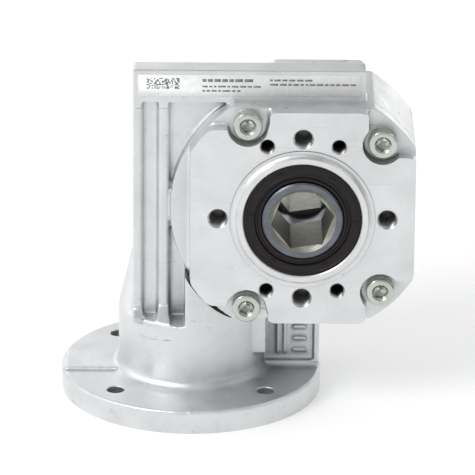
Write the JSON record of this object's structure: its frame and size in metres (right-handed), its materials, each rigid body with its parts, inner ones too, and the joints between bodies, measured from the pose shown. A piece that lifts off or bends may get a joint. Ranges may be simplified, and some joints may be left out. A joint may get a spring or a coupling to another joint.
{
  "type": "right angle worm gearbox",
  "caption": "Right angle worm gearbox: cast housing on a round motor flange, bolted cover with a hollow hexagon output shaft behind a lip seal.",
  "frame": {"origin": "centre of the motor flange's mating face, on the worm axis", "axes": "+Z along the worm axis away from the motor, +X towards the output axis, +Y along the output axis away from the bolted cover"},
  "size_m": [0.141, 0.105, 0.1412],
  "materials": {
    "cast_aluminium": "fine blasted die casting, pale silver",
    "machined_aluminium": "machined face, satin",
    "zinc_screws": "zinc plated",
    "label_foil": "silver foil label",
    "seal_rubber": "brown-black moulded rubber",
    "o_ring_rubber": "black rubber",
    "spring_steel": "spring steel",
    "bearing_steel": "ground bearing steel",
    "cage_brass": "pressed sheet",
    "shaft_steel": "turned and broached steel",
    "worm_steel": "hardened and ground steel",
    "cast_iron": "turned cast iron",
    "bronze": "hobbed tin bronze"
  },
  "bodies": {
    "root": {"housing": "cast_aluminium", "front_cover": "machined_aluminium", "cover_o_ring": "o_ring_rubber", "cover_screws": "zinc_screws", "nameplate": "label_foil", "front_seal": "seal_rubber", "rear_seal": "seal_rubber", "input_seal": "seal_rubber", "front_seal_spring": "spring_steel", "rear_seal_spring": "spring_steel", "input_seal_spring": "spring_steel", "bearing_circlip": "spring_steel", "front_bearing_outer": "bearing_steel", "rear_bearing_outer": "bearing_steel", "input_bearing_outer": "bearing_steel", "upper_bearing_outer": "bearing_steel"},
    "output": {"hollow_shaft": "shaft_steel", "hub_key": "worm_steel", "wheel_hub": "cast_iron", "wheel_rim": "bronze", "front_bearing_inner": "bearing_steel", "rear_bearing_inner": "bearing_steel"},
    "worm": {"worm_shaft": "worm_steel", "input_bearing_inner": "bearing_steel", "upper_bearing_inner": "bearing_steel"},
    "front_cage": {"front_bearing_cage": "cage_brass", "front_bearing_balls": "bearing_steel"},
    "rear_cage": {"rear_bearing_cage": "cage_brass", "rear_bearing_balls": "bearing_steel"},
    "input_cage": {"input_bearing_cage": "cage_brass", "input_bearing_balls": "bearing_steel"},
    "upper_cage": {"upper_bearing_cage": "cage_brass", "upper_bearing_balls": "bearing_steel"}
  },
  "joints": [
    {"name": "output_spin", "type": "hinge", "parent": "root", "child": "output", "pos_m": [0.044, 0, 0.084], "axis": [0, -1, 0], "continuous": true},
    {"name": "worm_spin", "type": "hinge", "parent": "root", "child": "worm", "pos_m": [0, 0, 0.084], "axis": [0, 0, 1], "continuous": true},
    {"name": "front_cage_spin", "type": "hinge", "parent": "root", "child": "front_cage", "pos_m": [0.044, -0.021, 0.084], "axis": [0, -1, 0], "continuous": true},
    {"name": "rear_cage_spin", "type": "hinge", "parent": "root", "child": "rear_cage", "pos_m": [0.044, 0.021, 0.084], "axis": [0, -1, 0], "continuous": true},
    {"name": "input_cage_spin", "type": "hinge", "parent": "root", "child": "input_cage", "pos_m": [0, 0, 0.022], "axis": [0, 0, 1], "continuous": true},
    {"name": "upper_cage_spin", "type": "hinge", "parent": "root", "child": "upper_cage", "pos_m": [0, 0, 0.117], "axis": [0, 0, 1], "continuous": true}
  ],
  "couplings": [
    {"joint": "worm_spin", "follows": "output_spin", "ratio": 15},
    {"joint": "front_cage_spin", "follows": "output_spin", "ratio": 0.44},
    {"joint": "rear_cage_spin", "follows": "output_spin", "ratio": 0.44},
    {"joint": "input_cage_spin", "follows": "output_spin", "ratio": 6.1667},
    {"joint": "upper_cage_spin", "follows": "output_spin", "ratio": 6.1667}
  ]
}
